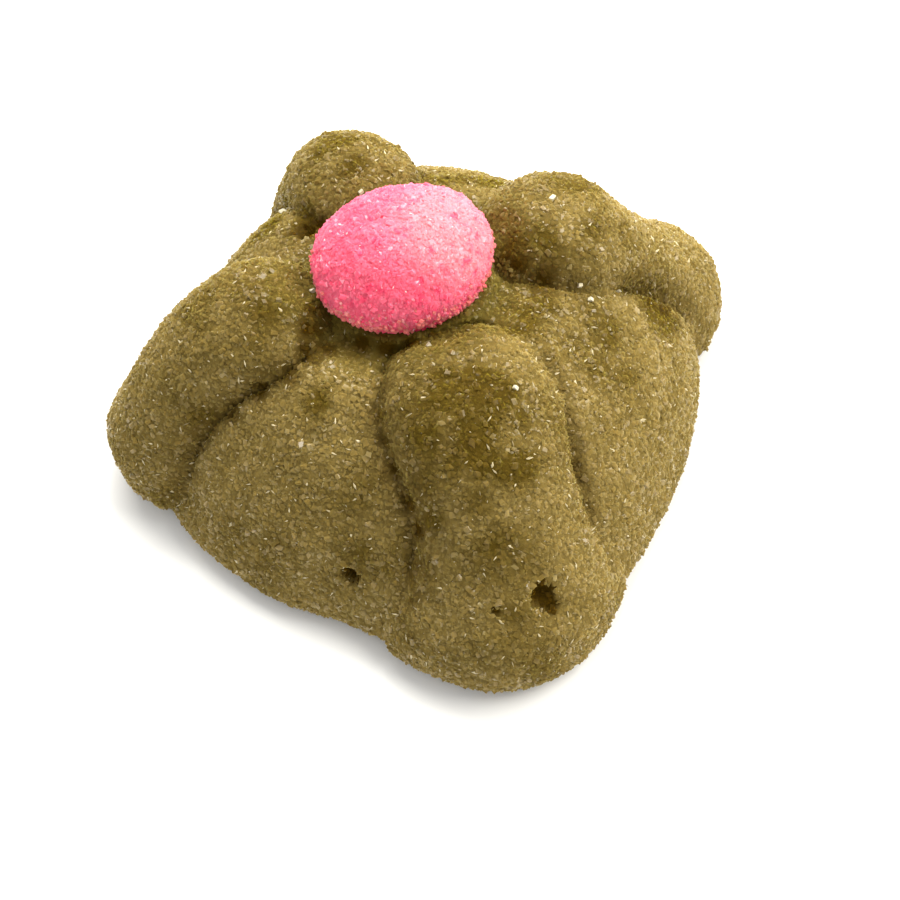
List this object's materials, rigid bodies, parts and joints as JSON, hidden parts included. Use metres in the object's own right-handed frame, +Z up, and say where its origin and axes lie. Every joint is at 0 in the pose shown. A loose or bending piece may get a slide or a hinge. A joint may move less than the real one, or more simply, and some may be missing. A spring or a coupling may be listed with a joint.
{
  "type": "gummy candy",
  "caption": "Sugar-coated gummy sweet shaped like a small festive loaf: a low brown dome with bone-like ridges from its middle to its corners and a pink knob on top.",
  "frame": {"origin": "middle of the flat underside's outline, at the surface that the sweet rests on", "axes": "+Z up through the knob, +X and -X, +Y and -Y along the ridges, -Y to the longest ridge in front"},
  "size_m": [0.0397, 0.0399, 0.0168],
  "materials": {
    "brown_gummy": "matte, coated with coarse sugar",
    "pink_gummy": "matte, coated with coarse sugar"
  },
  "bodies": {
    "root": {"gummy_body": "brown_gummy", "pink_knob": "pink_gummy"}
  },
  "joints": []
}
